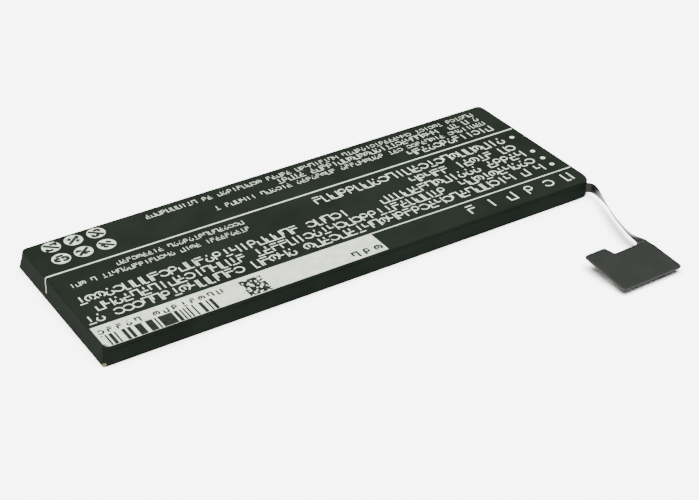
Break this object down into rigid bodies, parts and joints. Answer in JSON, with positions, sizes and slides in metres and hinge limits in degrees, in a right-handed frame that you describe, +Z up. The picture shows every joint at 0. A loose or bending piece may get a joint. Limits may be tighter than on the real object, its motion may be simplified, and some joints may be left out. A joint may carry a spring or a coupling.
{
  "type": "pouch battery cell",
  "caption": "Thin flat rechargeable pouch cell pack in a dark printed label, with a twisted flexible tail and an L-shaped connector paddle.",
  "frame": {"origin": "centre of the pack's underside", "axes": "+X along the pack to the end where the tail leaves, -Y to the side the tail lies on, +Z up through the pack's thickness"},
  "size_m": [0.0915, 0.0602, 0.0031],
  "materials": {
    "label": "matt printed film",
    "laminate": "satin laminate foil",
    "cathode": "dull dark coating",
    "anode": "dull graphite coating",
    "separator": "milky film",
    "tape": "amber polyimide",
    "aluminium_tab": "bright rolled strip",
    "nickel": "satin nickel",
    "sealant": "clear-white film",
    "foam": "open-cell foam",
    "board": "green solder mask",
    "chip": "moulded black",
    "component_ceramic": "fired, tan",
    "frame_plastic": "moulded black",
    "flex": "satin black cover film",
    "stiffener": "matt black sheet",
    "connector": "moulded black",
    "gold": "gold plating"
  },
  "bodies": {
    "pack": {"label_wrap": "label", "pouch_cup": "laminate", "pouch_lid": "laminate", "cathode_foil": "cathode", "anode_foil": "anode", "separator_inner": "separator", "separator_outer": "separator", "roll_tape": "tape", "positive_tab": "aluminium_tab", "negative_tab": "nickel", "positive_tab_film": "sealant", "negative_tab_film": "sealant", "positive_weld_pad": "nickel", "negative_weld_pad": "nickel", "board_foam": "foam", "protection_board": "board", "thermistor": "component_ceramic", "switch_transistors": "chip", "filter_capacitor_1": "component_ceramic", "filter_capacitor_2": "component_ceramic", "filter_resistor": "chip", "protection_chip": "chip", "thermal_fuse": "frame_plastic", "sense_resistor": "chip", "board_tape": "tape", "end_frame": "frame_plastic", "root_flex": "flex"},
    "neck_root": {"neck_root_flex": "flex"},
    "neck_end": {"neck_end_flex": "flex"},
    "paddle": {"paddle_flex": "flex", "paddle_stiffener": "stiffener", "connector_housing": "connector", "contact_near_1": "gold", "contact_near_2": "gold", "contact_near_3": "gold", "contact_far_1": "gold", "contact_far_2": "gold", "contact_far_3": "gold", "hold_down_left": "nickel", "hold_down_right": "nickel"}
  },
  "joints": [
    {"name": "tail_swing", "type": "hinge", "parent": "pack", "child": "neck_root", "pos_m": [0.04567, -0.017, 0.00149], "axis": [0, 0, 1], "range_deg": [-35, 60]},
    {"name": "neck_twist", "type": "hinge", "parent": "neck_root", "child": "neck_end", "pos_m": [0.04238, -0.027, 0.00175], "axis": [-0.3095, -0.9506, 0.0232], "range_deg": [-45, 45]},
    {"name": "paddle_tilt", "type": "hinge", "parent": "neck_end", "child": "paddle", "pos_m": [0.04093, -0.0351, 0.00202], "axis": [0.9996, 0.0279, 0], "range_deg": [-80, 30]}
  ]
}
